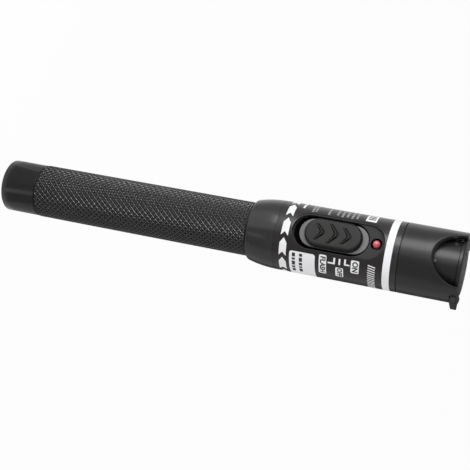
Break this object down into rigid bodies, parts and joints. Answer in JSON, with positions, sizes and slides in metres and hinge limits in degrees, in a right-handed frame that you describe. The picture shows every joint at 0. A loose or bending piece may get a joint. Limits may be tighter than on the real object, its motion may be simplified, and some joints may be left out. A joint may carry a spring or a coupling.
{
  "type": "visual fault locator",
  "caption": "Pen-shaped red-light source for tracing breaks in optical fibres, with a slide switch, a knurled battery grip, a screw tail cap and a hinged lid over its ferrule port.",
  "frame": {"origin": "centre of the tail cap's end face, on which the pen stands", "axes": "+Z along the pen towards the light port, -Y towards the slide switch, +X towards the lid's thumb tab"},
  "size_m": [0.0256, 0.0245, 0.1689],
  "materials": {
    "black_anodised": "satin black anodised aluminium",
    "black_plastic": "satin black ABS",
    "black_gloss": "glossy black plastic",
    "label_black": "satin black film",
    "print_white": "white print",
    "knob_rubber": "dark rubber touch",
    "plate_grey": "light grey moulded plastic",
    "seal_rubber": "black rubber",
    "indicator_red": "red diffused epoxy",
    "steel": "bright steel",
    "brass": "turned brass",
    "nickel": "nickel plated",
    "ceramic": "white zirconia",
    "lens_glass": "clear glass",
    "board_green": "green solder mask",
    "chip_black": "black epoxy",
    "cell_wrap": "plain grey sleeve over a metal can",
    "cradle_white": "natural nylon"
  },
  "bodies": {
    "housing": {"battery_tube": "black_anodised", "tube_oring": "seal_rubber", "cell_rear": "cell_wrap", "cell_front": "cell_wrap", "head_housing": "black_plastic", "wrap_label": "label_black", "label_print": "print_white", "slider_plate": "plate_grey", "slide_switch": "nickel", "indicator_led": "indicator_red", "contact_board": "board_green", "contact_stud": "brass", "module_cradle": "cradle_white", "circuit_board": "board_green", "board_screws": "steel", "driver_chip": "chip_black", "inductor": "chip_black", "capacitors": "chip_black", "nose_holder": "black_gloss", "laser_barrel": "brass", "laser_diode": "nickel", "focus_lens": "lens_glass", "lens_ring": "brass", "port_bush": "nickel", "ceramic_sleeve": "ceramic", "front_shroud": "black_plastic", "hinge_pin": "steel", "nose_dowel": "steel", "catch_clips": "steel"},
    "tail_carrier": {"tail_contact": "nickel", "tail_spring": "steel"},
    "tail_cap": {"tail_cap": "black_anodised"},
    "slider": {"slider_knob": "knob_rubber", "switch_lever": "chip_black"},
    "lid": {"lid": "black_gloss", "lid_seal": "seal_rubber"}
  },
  "joints": [
    {"name": "cap_travel", "type": "slide", "parent": "housing", "child": "tail_carrier", "axis": [0, 0, -1], "range_m": [0, 0.0045], "deforming": ["tail_spring"]},
    {"name": "cap_turn", "type": "hinge", "parent": "tail_carrier", "child": "tail_cap", "pos_m": [0, 0, 0], "axis": [0, 0, -1], "range_deg": [0, 1080]},
    {"name": "switch_slide", "type": "slide", "parent": "housing", "child": "slider", "axis": [0, 0, 1], "range_m": [-0.002, 0.002]},
    {"name": "lid_hinge", "type": "hinge", "parent": "housing", "child": "lid", "pos_m": [-0.0106, 0, 0.1678], "axis": [0, -1, 0], "range_deg": [0, 105]}
  ],
  "couplings": [
    {"joint": "cap_travel", "follows": "cap_turn", "m_per_rad": 0.00023873}
  ]
}
